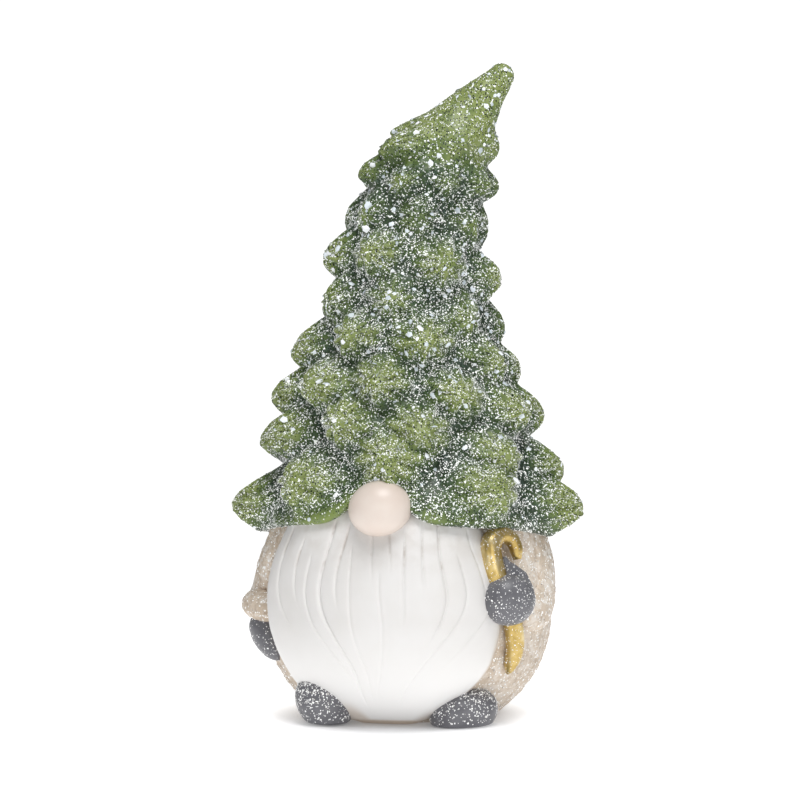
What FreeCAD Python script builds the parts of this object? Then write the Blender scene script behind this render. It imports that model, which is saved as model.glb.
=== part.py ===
import FreeCAD, Part

import math
import os

# Tomte gnome figurine: a hollow ceramic ornament with a tall pine-tree hat.
# Millimetres, +Z up, the gnome looks along -Y, and its own right hand is on -X.
# The origin is the centre of the foot ring, on the surface that it stands on.
# Turns about the axis are in degrees from the front, positive towards +X.

Vec = FreeCAD.Vector
UP = Vec(0, 0, 1)

# ---------------------------------------------------------------- driving dimensions
FOOT_RADIUS = 36.5
BODY_RADIUS = 57.2
WALL = 4.5
VENT_RADIUS = 6.0

SHOULDER_Z = 76.0
SHOULDER_RADIUS = 52.4
SPIGOT_RADIUS = 46.0
SPIGOT_TOP = 89.0

BEARD_THICKNESS = 7.0
BEARD_TOP = 86.0
BEARD_SHIFT = -1.5       # the sprig sits a little to the gnome's right

NOSE_CENTRE = Vec(-1.0, -56.6, 85.4)
NOSE_RADII = Vec(12.1, 11.0, 10.8)

BRIM_Z = 70.5            # lower edge of the hat at the sides and back
BRIM_RISE = 0.16         # rise of that edge per millimetre towards the front
CAVITY_TOP_Z = 236.0
HAT_WALL = 7.0

CROOK_RADIUS = 3.7
CROOK_HOOK_RADIUS = 5.6
CROOK_SINK = 0.5         # how deep the crook is bedded in the coat

# Boot toes: turn, radius from the axis, height, radii (wide, out, tall), and sideways tip.
RIGHT_BOOT = (-31.7, 48.8, 8.7, Vec(12.7, 11.5, 10.2), 44)
LEFT_BOOT = (37.5, 46.5, 4.8, Vec(14.0, 11.2, 10.0), -15)

# Coat outline from the foot to the shoulder: radius and height.
BODY_OUTLINE = [
    (FOOT_RADIUS, 0.0),
    (45.2, 8.5),
    (52.0, 18.0),
    (56.0, 30.0),
    (BODY_RADIUS, 45.0),
    (56.6, 59.0),
    (SHOULDER_RADIUS, SHOULDER_Z),
]

# Right half of the beard's outline, seen from the front: x and z, from the bottom up.
BEARD_OUTLINE = [
    (14.0, 1.5),
    (22.0, 5.0),
    (34.0, 12.5),
    (43.0, 22.0),
    (48.0, 34.0),
    (48.5, 47.0),
    (45.5, 62.0),
    (41.5, 74.0),
    (37.0, BEARD_TOP),
]

# Hat core: height, sideways lean, radius, and tilt of the section in degrees.
HAT_RINGS = [
    (BRIM_Z - 4.0, 0.0, 56.8, 0),
    (84.0, 0.3, 55.0, 0),
    (100.0, 0.8, 49.5, 0),
    (120.0, 0.0, 43.0, 0),
    (140.0, -0.8, 35.5, 0),
    (160.0, 0.6, 29.5, 2),
    (180.0, 2.0, 25.0, 4),
    (200.0, 4.6, 21.5, 5),
    (214.0, 8.8, 19.8, 8),
    (224.0, 13.2, 17.8, 12),
    (231.5, 18.4, 14.8, 19),
    (237.5, 23.6, 11.6, 27),
    (243.5, 29.0, 9.0, 34),
    (249.5, 34.6, 6.4, 42),
    (253.0, 37.4, 5.2, 42),
]

# Tiers of boughs: height, rise at the front, extra reach on the -X side, reach, slant to
# the +X side, count, first turn, radius at the root, and radius at the tip.
BOUGH_TIERS = [
    (104.5, 12.0, 1.2, 61.5, 5.0, 10, 16, 16.0, 5.2),
    (124.0, 9.0, 1.0, 55.0, 3.5, 10, -2, 15.5, 5.6),
    (142.0, 9.0, 1.2, 46.8, 4.5, 8, 20, 15.0, 5.6),
    (159.5, 5.0, 1.0, 38.4, 7.0, 7, -1, 14.0, 5.6),
    (178.0, 4.0, 0.5, 36.4, 7.0, 7, -20, 13.0, 5.6),
    (196.0, 1.0, 0.0, 29.2, 4.0, 7, 12, 12.0, 5.4),
]

# Single boughs near the hat's tip: turn, height, and length beyond the core.
TOP_BOUGHS = [
    (-64, 215.5, 9.5),
    (-13, 210.5, 8.5),
    (27, 210.5, 8.0),
    (67, 209.5, 8.6),
    (112, 209.0, 8.2),
    (156, 211.0, 9.0),
    (-156, 213.0, 9.0),
    (-110, 214.0, 9.0),
    (92, 222.0, 5.5),
    (-44, 225.0, 9.5),
    (-132, 226.0, 7.5),
    (172, 223.0, 7.0),
    (-84, 233.0, 9.5),
]
TOP_BOUGH_ROOT = 10.0
TOP_BOUGH_TIP = 4.4

BOUGH_ROOT_DEPTH = 7.0   # how far a bough's root lies inside the core

# Lowest tier: nine long boughs that flare out as the brim, lifted over the nose.
BRIM_TURNS = (1, 42, 86, 127, 165, -158, -117, -76, -36)
BRIM_TIER_Z = 84.0
BRIM_TIER_REACH = 70.8
BRIM_TIER_LIFT = 21.0
BRIM_LIFT_SETBACK = 0.47  # reach lost per millimetre of lift
BRIM_BOUGH_RISE = 1.5
BRIM_BOUGH_ROOT = 18.5
BRIM_BOUGH_TIP = 3.8
BRIM_BOUGH_DEPTH = 26.0


# ---------------------------------------------------------------- geometry helpers
def around(turn, radius, height, lean=0.0):
    """Point at a turn from the front, a radius from the leaning axis, and a height."""
    angle = math.radians(turn)
    return Vec(lean + radius * math.sin(angle), -radius * math.cos(angle), height)


def spline_edge(points):
    """Smooth edge through the given points."""
    curve = Part.BSplineCurve()
    curve.interpolate(points)
    return curve.toShape()


def revolved(edges):
    """Solid of revolution about Z, from a closed outline in the XZ plane."""
    face = Part.Face(Part.Wire(edges))
    return face.revolve(Vec(0, 0, 0), UP, 360)


def outline_edges(outline, bottom_z, top_z):
    """Closed outline in the XZ plane between the axis and a curve of (radius, z)."""
    points = [Vec(radius, 0, height) for radius, height in outline]
    bottom = Vec(0, 0, bottom_z)
    top = Vec(0, 0, top_z)
    return [
        Part.makeLine(bottom, points[0]),
        spline_edge(points),
        Part.makeLine(points[-1], top),
        Part.makeLine(top, bottom),
    ]


def ellipsoid(centre, radii, turn=0.0, tip=0.0):
    """Ellipsoid with its x radius tangent to the axis at a turn, then tipped in that face."""
    stretch = FreeCAD.Matrix()
    stretch.scale(radii)
    shape = Part.makeSphere(1.0).transformGeometry(stretch)
    facing = FreeCAD.Rotation(UP, turn)
    tipped = FreeCAD.Rotation(Vec(0, 1, 0), tip)
    shape.Placement = FreeCAD.Placement(centre, facing.multiply(tipped))
    return shape


def rounded_cone(root, tip, root_radius, tip_radius):
    """Cone from a root centre to a tip, ending in a ball that the cone meets smoothly."""
    length = (tip - root).Length
    ball = length - tip_radius
    reach = math.hypot(root_radius, ball)
    slope = math.pi - math.atan2(root_radius, ball) - math.acos(tip_radius / reach)
    rim = Vec(tip_radius * math.sin(slope), 0, ball + tip_radius * math.cos(slope))
    middle = Vec(tip_radius * math.sin(slope / 2), 0, ball + tip_radius * math.cos(slope / 2))
    corner = Vec(root_radius, 0, 0)
    end = Vec(0, 0, length)
    edges = [
        Part.makeLine(Vec(0, 0, 0), corner),
        Part.makeLine(corner, rim),
        Part.Arc(rim, middle, end).toShape(),
        Part.makeLine(end, Vec(0, 0, 0)),
    ]
    shape = revolved(edges)
    shape.Placement = FreeCAD.Placement(root, FreeCAD.Rotation(UP, tip - root))
    return shape


def largest_solid(shape):
    """The largest of a shape's solids, without the crumbs that a cut leaves."""
    return max(shape.Solids, key=lambda solid: solid.Volume)


def coat_radius(height):
    """Radius of the coat at a height, on straight lines between the outline's points."""
    for (low_r, low_z), (high_r, high_z) in zip(BODY_OUTLINE, BODY_OUTLINE[1:]):
        if height <= high_z:
            part = (height - low_z) / (high_z - low_z)
            return low_r + part * (high_r - low_r)
    return SHOULDER_RADIUS


# ---------------------------------------------------------------- body
def body_envelope():
    """Coat, shoulder step and spigot as one filled solid."""
    points = [Vec(radius, 0, height) for radius, height in BODY_OUTLINE]
    step = Vec(SPIGOT_RADIUS, 0, SHOULDER_Z)
    rim = Vec(SPIGOT_RADIUS, 0, SPIGOT_TOP)
    top = Vec(0, 0, SPIGOT_TOP)
    origin = Vec(0, 0, 0)
    edges = [
        Part.makeLine(origin, points[0]),
        spline_edge(points),
        Part.makeLine(points[-1], step),
        Part.makeLine(step, rim),
        Part.makeLine(rim, top),
        Part.makeLine(top, origin),
    ]
    return revolved(edges)


def body_cavity():
    """Hollow of the body, open at the top of the spigot."""
    mouth_radius = SPIGOT_RADIUS - WALL
    neck_z = SHOULDER_Z + 1.0
    floor = [(FOOT_RADIUS - WALL, WALL)]
    inner = [(radius - WALL, height) for radius, height in BODY_OUTLINE[2:-1]]
    neck = [(mouth_radius, neck_z)]
    belly = revolved(outline_edges(floor + inner + neck, WALL, neck_z))
    mouth = Part.makeCylinder(mouth_radius, SPIGOT_TOP, Vec(0, 0, neck_z))
    return belly.fuse(mouth)


def make_body(envelope):
    """Hollow coat body with a vent hole through its base."""
    vent = Part.makeCylinder(VENT_RADIUS, 3 * WALL, Vec(0, 0, -WALL))
    return envelope.cut([body_cavity(), vent])


# ---------------------------------------------------------------- face
def make_nose():
    """Egg-shaped ball under the front of the brim."""
    return ellipsoid(NOSE_CENTRE, NOSE_RADII)


def beard_blank():
    """Full beard: a thick belly-shaped layer inside the beard's front outline."""
    layer = [(38.0, 0.5)]
    for radius, height in BODY_OUTLINE[1:-1]:
        layer.append((radius + BEARD_THICKNESS * min(1.0, 0.5 + height / 40), height + 1.5))
    layer.append((SHOULDER_RADIUS + 0.6 * BEARD_THICKNESS, SHOULDER_Z + 1.5))
    layer.append((SPIGOT_RADIUS + 0.6 * BEARD_THICKNESS, BEARD_TOP))
    belly = revolved(outline_edges(layer, layer[0][1], BEARD_TOP))
    right_side = [Vec(BEARD_SHIFT + x, 0, z) for x, z in BEARD_OUTLINE]
    left_side = [Vec(BEARD_SHIFT - x, 0, z) for x, z in BEARD_OUTLINE]
    edges = [
        spline_edge(right_side),
        Part.makeLine(right_side[-1], left_side[-1]),
        spline_edge(left_side),
        Part.makeLine(left_side[0], right_side[0]),
    ]
    front = Part.Face(Part.Wire(Part.__sortEdges__(edges))).extrude(Vec(0, -2 * BODY_RADIUS, 0))
    return belly.common(front)


# ---------------------------------------------------------------- arms
def make_right_mitten():
    """Mitten that hangs at the beard's edge and points down and forward."""
    return ellipsoid(around(-66, 56.2, 32.0), Vec(9.0, 7.8, 10.4), -66, 30)


def make_right_cuff():
    """Fat cuff above the right mitten."""
    return ellipsoid(around(-72, 57.5, 43.8), Vec(11.0, 8.2, 7.2), -72)


def make_right_sleeve():
    """Sleeve that runs down from under the brim to the right cuff."""
    return ellipsoid(around(-69, 49.5, 57.5), Vec(14.0, 10.7, 20.0), -69)


def make_left_sleeve():
    """Low bent arm: upper arm under the brim, and a forearm towards the crook."""
    upper_arm = ellipsoid(around(87, 47.0, 57.0), Vec(15.0, 12.0, 23.0), 87)
    forearm = ellipsoid(around(71, 52.5, 45.0), Vec(17.0, 8.0, 10.5), 71, -8)
    return upper_arm.fuse(forearm)


def make_left_mitten():
    """Ball-shaped mitten with a pointed thumb that lies along the crook."""
    ball = ellipsoid(around(48.8, 63.2, 49.4), Vec(11.4, 9.6, 10.7), 48.8)
    thumb = rounded_cone(around(52, 61.5, 53.0), around(48.6, 60.5, 66.0), 6.5, 1.3)
    return ball.fuse(thumb)


# ---------------------------------------------------------------- crook
def on_coat(turn, height, radius):
    """Centre of a round stick of a given radius that lies along the coat."""
    return around(turn, coat_radius(height) + radius - CROOK_SINK, height)


def make_crook():
    """Hooked stick: a half-round hook at the top, and a shank that tapers to a point."""
    hook_facing = FreeCAD.Rotation(UP, 43)
    shank_top = on_coat(42.4, 69.0, CROOK_RADIUS)
    across = hook_facing.multVec(Vec(1, 0, 0))
    centre = shank_top + across * CROOK_HOOK_RADIUS
    hook_end = centre + across * CROOK_HOOK_RADIUS
    hook_top = centre + UP * CROOK_HOOK_RADIUS
    path = Part.Wire(Part.Arc(shank_top, hook_top, hook_end).toShape())
    section = Part.Wire(Part.makeCircle(CROOK_RADIUS, shank_top, UP))
    hook = path.makePipeShell([section], True, True)
    knees = [
        (shank_top, CROOK_RADIUS),
        (on_coat(47.8, 49.3, CROOK_RADIUS), CROOK_RADIUS),
        (on_coat(52.2, 34.0, CROOK_RADIUS), CROOK_RADIUS),
        (on_coat(53.6, 28.0, 3.4), 3.4),
        (on_coat(54.6, 21.4, 1.4), 1.4),
    ]
    pieces = [hook_end_cap(hook_end)]
    for (start, start_radius), (end, end_radius) in zip(knees, knees[1:]):
        pieces.append(shank_length(start, end, start_radius, end_radius))
        pieces.append(Part.makeSphere(end_radius, end))
    return hook.fuse(pieces)


def hook_end_cap(end):
    """Short rounded end of the hook, pointing down."""
    return rounded_cone(end, end - UP * 5.0, CROOK_RADIUS, 2.4)


def shank_length(start, end, start_radius, end_radius):
    """One straight length of the crook's shank."""
    length = (end - start).Length
    if start_radius == end_radius:
        return Part.makeCylinder(start_radius, length, start, end - start)
    return Part.makeCone(start_radius, end_radius, length, start, end - start)


# ---------------------------------------------------------------- boots
def make_boot(turn, radius, height, radii, tip):
    """Round boot toe, flat underneath."""
    toe = ellipsoid(around(turn, radius, height), radii, turn, tip)
    below = Part.makeBox(200, 200, 50, Vec(-100, -100, -50))
    return toe.cut(below)


# ---------------------------------------------------------------- hat
def hat_ring(height, lean, radius, tilt):
    """One round section of the leaning hat."""
    angle = math.radians(tilt)
    normal = Vec(math.sin(angle), 0, math.cos(angle))
    return Part.Wire(Part.makeCircle(radius, Vec(lean, 0, height), normal))


def hat_core():
    """Leaning stack of cone frusta that the boughs stand on, with a rounded tip."""
    core = Part.makeLoft([hat_ring(*ring) for ring in HAT_RINGS], True, True)
    tip_height, tip_lean, tip_radius, tilt = HAT_RINGS[-1]
    return core.fuse(Part.makeSphere(tip_radius, Vec(tip_lean, 0, tip_height)))


def core_at(height, column):
    """One of the hat core's dimensions at a height: its lean (1) or its radius (2)."""
    for low, high in zip(HAT_RINGS, HAT_RINGS[1:]):
        if height <= high[0]:
            part = (height - low[0]) / (high[0] - low[0])
            return low[column] + part * (high[column] - low[column])
    return HAT_RINGS[-1][column]


def bough(turn, height, reach, root_radius, tip_radius):
    """Short blunt bough whose root lies inside the leaning core."""
    lean = core_at(height, 1)
    tip = around(turn, reach, height, lean)
    root = around(turn, core_at(height, 2) - BOUGH_ROOT_DEPTH, height + 1.0, lean)
    return rounded_cone(root, tip, root_radius, tip_radius)


def tier_of_boughs(height, front, sway, reach, slant, count, first_turn, root_radius, tip_radius):
    """Ring of boughs that rises at the front and drops on the side that the hat leans to."""
    boughs = []
    for number in range(count):
        turn = first_turn + number * 360 / count
        aside = math.sin(math.radians(turn))
        lift = front * max(0.0, math.cos(math.radians(turn))) ** 2
        drop = math.tan(math.radians(slant)) * reach * aside
        tip_reach = reach - sway * aside
        boughs.append(bough(turn, height + lift - drop, tip_reach, root_radius, tip_radius))
    return boughs


def top_boughs():
    """Boughs near the tip, each one in its own place."""
    boughs = []
    for turn, height, length in TOP_BOUGHS:
        reach = core_at(height, 2) + length
        boughs.append(bough(turn, height, reach, TOP_BOUGH_ROOT, TOP_BOUGH_TIP))
    return boughs


def brim_boughs():
    """Lowest ring of long boughs, lifted where it passes over the nose."""
    boughs = []
    for turn in BRIM_TURNS:
        lift = BRIM_TIER_LIFT * max(0.0, math.cos(math.radians(turn))) ** 3
        reach = BRIM_TIER_REACH - BRIM_LIFT_SETBACK * lift
        tip = around(turn, reach, BRIM_TIER_Z + lift)
        root = around(turn, reach - BRIM_BOUGH_DEPTH, BRIM_TIER_Z + lift + BRIM_BOUGH_RISE)
        boughs.append(rounded_cone(root, tip, BRIM_BOUGH_ROOT, BRIM_BOUGH_TIP))
    return boughs


def below_brim():
    """Everything under the brim's lower edge, which rises towards the front."""
    far = 120.0
    corners = [
        Vec(-far, -far, 0),
        Vec(-far, -far, BRIM_Z + BRIM_RISE * far),
        Vec(-far, 0, BRIM_Z),
        Vec(-far, far, BRIM_Z),
        Vec(-far, far, 0),
    ]
    face = Part.Face(Part.makePolygon(corners + corners[:1]))
    return face.extrude(Vec(2 * far, 0, 0))


def hat_cavity():
    """Hollow of the hat, widest at the socket, following the lean of the core."""
    sections = [hat_ring(SPIGOT_TOP, 0.0, SPIGOT_RADIUS - 2.0, 0)]
    for height, lean, radius, tilt in HAT_RINGS[2:-3]:
        if height < CAVITY_TOP_Z:
            sections.append(hat_ring(height, lean, radius - HAT_WALL, tilt))
    return Part.makeLoft(sections, True, True)


def make_hat(seated_pieces):
    """Pine-tree hat with its boughs in one piece, cut where the other pieces seat."""
    boughs = brim_boughs() + top_boughs()
    for tier in BOUGH_TIERS:
        boughs.extend(tier_of_boughs(*tier))
    solid_hat = hat_core().fuse(boughs)
    return solid_hat.cut([below_brim(), hat_cavity()] + seated_pieces)


# ---------------------------------------------------------------- assembly
def build():
    """Every sub-part by its name, each one seated face to face on its neighbours."""
    envelope = body_envelope()
    nose = make_nose()
    crook = make_crook().cut(envelope)
    right_boot = make_boot(*RIGHT_BOOT).cut(envelope)
    left_boot = make_boot(*LEFT_BOOT).cut(envelope)
    beard = beard_blank().cut([envelope, nose, crook, right_boot, left_boot])
    right_cuff = make_right_cuff().cut([envelope, beard])
    right_mitten = make_right_mitten().cut([envelope, beard, right_cuff])
    right_sleeve = make_right_sleeve().cut([envelope, beard, right_cuff])
    left_mitten = make_left_mitten().cut([envelope, beard, crook])
    left_sleeve = make_left_sleeve().cut([envelope, beard, crook, left_mitten])
    nose = nose.cut(envelope)
    hat = make_hat([envelope, nose, beard, crook, right_sleeve, left_sleeve])
    below_hat = below_brim()
    return {
        "body_shell": make_body(envelope),
        "hat_shell": hat,
        "beard": beard,
        "nose": nose,
        "right_sleeve": right_sleeve.common(below_hat),
        "right_cuff": right_cuff,
        "right_mitten": right_mitten,
        "left_sleeve": left_sleeve.common(below_hat),
        "left_mitten": left_mitten,
        "crook": crook,
        "right_boot": right_boot,
        "left_boot": left_boot,
    }


os.makedirs("parts", exist_ok=True)
for node_name, node_shape in build().items():
    solid = largest_solid(node_shape)
    solid.exportStep(os.path.join("parts", node_name + ".step"))
    print(node_name, solid.isValid(), len(node_shape.Solids), round(solid.Volume), solid.BoundBox)
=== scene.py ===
import math

import bpy
import numpy as np
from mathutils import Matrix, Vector, noise


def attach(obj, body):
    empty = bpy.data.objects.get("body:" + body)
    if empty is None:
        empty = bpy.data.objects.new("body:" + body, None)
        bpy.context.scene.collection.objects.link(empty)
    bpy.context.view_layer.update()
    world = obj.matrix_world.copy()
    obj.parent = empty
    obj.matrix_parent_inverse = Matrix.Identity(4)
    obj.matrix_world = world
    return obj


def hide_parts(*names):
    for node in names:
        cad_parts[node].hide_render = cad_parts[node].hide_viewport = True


# Looks of a painted ceramic gnome with a pine-tree hat. Lengths are in millimetres until
# a mesh is made. Turns are degrees about +Z from the front (-Y), positive towards +X.
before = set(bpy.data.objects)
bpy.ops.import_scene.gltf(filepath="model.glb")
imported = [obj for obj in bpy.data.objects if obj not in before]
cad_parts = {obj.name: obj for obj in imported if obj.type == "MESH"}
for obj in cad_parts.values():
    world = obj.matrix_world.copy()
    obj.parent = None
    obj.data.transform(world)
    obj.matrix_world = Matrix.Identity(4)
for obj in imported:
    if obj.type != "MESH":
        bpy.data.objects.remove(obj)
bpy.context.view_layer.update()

MM = 0.001

# ---------------------------------------------------------------- shared outlines
# Coat: height and radius.
COAT_OUTLINE = [
    (0.0, 36.5),
    (8.5, 45.2),
    (18.0, 52.0),
    (30.0, 56.0),
    (45.0, 57.2),
    (59.0, 56.6),
    (76.0, 52.4),
    (92.0, 45.0),
]

# Beard: height, radius of its face, and the turns of its two edges.
BEARD_OUTLINE = [
    (0.3, 43.0, -18.5, 16.5),
    (5.0, 48.6, -32.0, 28.0),
    (12.5, 54.6, -43.0, 37.5),
    (22.0, 59.8, -48.5, 45.0),
    (34.0, 63.4, -52.8, 48.2),
    (47.0, 64.6, -54.4, 48.5),
    (61.0, 63.6, -53.0, 46.5),
    (72.0, 60.6, -49.5, 43.5),
    (82.0, 56.0, -47.5, 42.5),
    (90.0, 51.5, -47.5, 42.5),
]

# Long strands of the beard: place across it (-1 to 1), heights of the upper and lower ends,
# and depth.
STRANDS = [
    (-0.91, 74, 50, 0.5),
    (-0.78, 76, 34, 0.6),
    (-0.60, 72, 44, 0.6),
    (-0.50, 66, 14, 0.6),
    (-0.37, 80, 5, 1.1),
    (-0.24, 78, 44, 0.7),
    (-0.16, 70, 8, 0.5),
    (0.00, 78, 56, 0.8),
    (0.07, 60, 10, 0.5),
    (0.13, 77, 58, 0.6),
    (0.24, 76, 36, 0.7),
    (0.38, 80, 50, 0.6),
    (0.52, 82, 30, 0.9),
    (0.66, 66, 6, 0.6),
    (0.80, 78, 46, 0.6),
    (0.92, 70, 20, 0.5),
]

# Hat core: height, sideways lean, radius, and tilt of the section in degrees.
HAT_RINGS = [
    (66.0, 0.0, 56.8, 0),
    (84.0, 0.3, 54.6, 0),
    (100.0, 0.8, 49.5, 0),
    (120.0, 0.0, 43.0, 0),
    (140.0, -0.8, 35.5, 0),
    (160.0, 0.6, 29.5, 2),
    (180.0, 2.0, 25.0, 4),
    (200.0, 4.6, 21.5, 5),
    (214.0, 8.8, 19.8, 8),
    (224.0, 13.2, 17.8, 12),
    (231.5, 18.4, 14.8, 19),
    (237.5, 23.6, 11.6, 27),
    (243.5, 29.0, 9.0, 34),
    (249.5, 34.6, 6.4, 42),
    (253.0, 37.4, 5.2, 42),
]

# Tiers of boughs: height, rise at the front, extra reach on the -X side, reach, slant to
# the +X side, count, first turn and half width.
BOUGH_TIERS = [
    (104.5, 12.0, 1.2, 61.5, 5.0, 10, 16, 16.0),
    (124.0, 9.0, 1.0, 55.0, 3.5, 10, -2, 16.0),
    (142.0, 9.0, 1.2, 46.8, 4.5, 8, 20, 16.0),
    (159.5, 5.0, 1.0, 38.4, 7.0, 7, -1, 15.0),
    (178.0, 4.0, 0.5, 36.4, 7.0, 7, -20, 14.0),
    (196.0, 1.0, 0.0, 29.2, 4.0, 7, 12, 12.0),
]

# Single boughs near the hat's tip: turn, height, length and half width.
TOP_BOUGHS = [
    (-64, 215.5, 9.5, 11.0),
    (-13, 210.5, 8.5, 10.0),
    (27, 210.5, 8.0, 9.5),
    (67, 209.5, 8.6, 11.0),
    (112, 209.0, 8.2, 11.0),
    (92, 224.0, 5.0, 13.0),
    (156, 211.0, 9.0, 11.0),
    (-156, 213.0, 9.0, 11.0),
    (-110, 214.0, 9.0, 11.0),
    (-44, 225.0, 10.0, 10.5),
    (-84, 234.5, 9.3, 9.5),
    (-132, 226.0, 7.5, 9.0),
    (172, 223.0, 7.0, 9.0),
    (30, 226.0, 3.0, 8.0),
]

# Shape that the boughs of one kind share: rise above the tip, fall below it, and twist in
# degrees. In the tiers the twist is random, and TIER_TWIST is the most of it either way.
TIER_RISE = 13.0
TIER_FALL = 14.5
TIER_TWIST = 16.0
TOP_RISE = 9.0
TOP_FALL = 8.5
TOP_TWIST = -15.0

# Boughs round the brim. Those at the front are lifted, and each millimetre of lift also
# sets them back and lengthens their fall a little.
BRIM_TURNS = (1, 42, 86, 127, 165, -158, -117, -76, -36)
BRIM_TIP_Z = 84.0
BRIM_REACH = 71.4
BRIM_LIFT = 21.0
BRIM_SETBACK = 0.47
BRIM_HALF_WIDTH = 19.0
BRIM_RISE = 13.0
BRIM_FALL = 17.0
BRIM_SAG = 0.25

# How far every bough hangs down, for each millimetre that it reaches out.
DROOP = 0.14

# Lower edge of the brim, and the arch in it over the nose (height, half width in degrees).
BRIM_Z = 70.5
BRIM_FRONT_RISE = 10.5
BRIM_ARCH = 15.0
BRIM_ARCH_WIDTH = 12.0
NOSE_TURN = -2.5

# Stretches of the brim's lip that stay bare green: turn, half width, and how bare.
BARE_LIP = [(336, 16, 1.0), (19, 5, 0.7)]

# Where the coat's wall stops under the hat, and its vent hole.
COAT_TOP = 84.0
VENT_RADIUS = 6.0

# Clay laid over the coat: how deep it is bedded, and how blunt its ends are.
STROKE_BURY = 3.0
STROKE_BLUNT = 0.6

# Left hand: turn, radius from the axis, and height.
LEFT_FIST = (47.6, 63.0, 49.6)

# Crook: how proud its middle line stands of the coat, and the hook's radius and facing.
CROOK_PROUD = 3.5
HOOK_RADIUS = 6.1
HOOK_FACING = 43

# Boot toes: turn, radius from the axis, height, radii (wide, out, tall), and sideways roll.
RIGHT_BOOT = (-31.7, 48.8, 8.7, (12.7, 11.5, 10.2), -44)
LEFT_BOOT = (37.5, 46.5, 4.8, (14.0, 11.2, 10.0), 15)

# Chips of glitter: lowest height that they lie at, and, as shares of a chip's size, how far
# its rim stands off the surface and how tall it is.
CHIP_FLOOR = 1.5
CHIP_LIFT = 0.12
CHIP_HEIGHT = 0.3

# Nose: an egg that sits in the brim's arch.
NOSE_CENTRE = np.array([-1.0, -56.6, 85.4])
NOSE_RADII = np.array([12.1, 11.0, 10.8])

# Soft lights: name, place and size in metres, and power in watts.
LIGHTS = [
    ("key", (0.66, -1.15, 0.34), 0.6, 2.8),
    ("fill", (-0.25, -1.45, 0.22), 0.5, 1.4),
    ("top", (0.15, -0.40, 1.20), 0.5, 9.0),
]


# ---------------------------------------------------------------- curves and noise
def spline(table, column, at):
    """Smooth curve through a table's rows, read at some values of its first column."""
    knots = np.array([row[0] for row in table], float)
    values = np.array([row[column] for row in table], float)
    slope = np.gradient(values, knots)
    at = np.asarray(at, float)
    i = np.clip(np.searchsorted(knots, at, side="right") - 1, 0, len(knots) - 2)
    width = knots[i + 1] - knots[i]
    t = np.clip((at - knots[i]) / width, 0, 1)
    start = (2 * t**3 - 3 * t**2 + 1) * values[i] + (t**3 - 2 * t**2 + t) * width * slope[i]
    end = (3 * t**2 - 2 * t**3) * values[i + 1] + (t**3 - t**2) * width * slope[i + 1]
    return start + end


def step(low, high, value):
    """Smooth step from 0 at low to 1 at high."""
    t = np.clip((value - low) / (high - low), 0, 1)
    return t * t * (3 - 2 * t)


def ripple(points, size, seed):
    """Smooth noise in about -1..1 at points, with lumps of a given size."""
    shift = Vector((seed, 1.7 * seed, 0.6 * seed))
    flat = points.reshape(-1, 3) / size
    values = [noise.noise(Vector(point) + shift) for point in flat]
    return np.array(values).reshape(points.shape[:-1]) * 1.6


def points_from(x, y, z):
    """Points from three coordinates, each spread over the others' shape."""
    return np.stack(np.broadcast_arrays(x, y, z), -1)


def around(turn, radius, height):
    """Points at a turn, a radius from the axis and a height."""
    angle = np.radians(turn)
    return points_from(radius * np.sin(angle), -radius * np.cos(angle), height)


# ---------------------------------------------------------------- meshes
def make_object(name, vertices, faces, smooth=True):
    """Object from vertices in millimetres."""
    mesh = bpy.data.meshes.new(name)
    mesh.from_pydata((np.asarray(vertices) * MM).tolist(), [], faces)
    mesh.polygons.foreach_set("use_smooth", [smooth] * len(mesh.polygons))
    mesh.update()
    piece = bpy.data.objects.new(name, mesh)
    bpy.context.scene.collection.objects.link(piece)
    return piece


def skin(name, rings, marks=None):
    """Closed surface over rings of points (ring, column, xyz), with a point at each end."""
    count, columns = rings.shape[:2]
    index = np.arange(count * columns).reshape(count, columns)
    right = np.roll(index, -1, axis=1)
    quads = np.stack([index[:-1], right[:-1], right[1:], index[1:]], -1).reshape(-1, 4)
    bottom = count * columns
    top = bottom + 1
    faces = quads.tolist()
    faces += [(bottom, b, a) for a, b in zip(index[0].tolist(), right[0].tolist())]
    faces += [(top, a, b) for a, b in zip(index[-1].tolist(), right[-1].tolist())]
    ends = np.stack([rings[0].mean(0), rings[-1].mean(0)])
    piece = make_object(name, np.concatenate([rings.reshape(-1, 3), ends]), faces)
    for key, values in (marks or {}).items():
        layer = piece.data.attributes.new(key, "FLOAT", "POINT")
        column = np.concatenate([values.reshape(-1), [values[0].mean(), values[-1].mean()]])
        layer.data.foreach_set("value", column.astype(np.float32))
    return piece


def place_piece(piece, nodes, material):
    """Says what a piece rides on, replaces and is made of."""
    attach(piece, "root")
    if nodes:
        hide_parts(*nodes)
    piece.data.materials.append(material)
    return piece


def over_coat(turn, height, lift):
    """Points at a lift above the coat, square to it."""
    radius = spline(COAT_OUTLINE, 1, height)
    slope = spline(COAT_OUTLINE, 1, height + 0.5) - spline(COAT_OUTLINE, 1, height - 0.5)
    length = np.sqrt(1 + slope**2)
    return around(turn, radius + lift / length, height - lift * slope / length)


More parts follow.
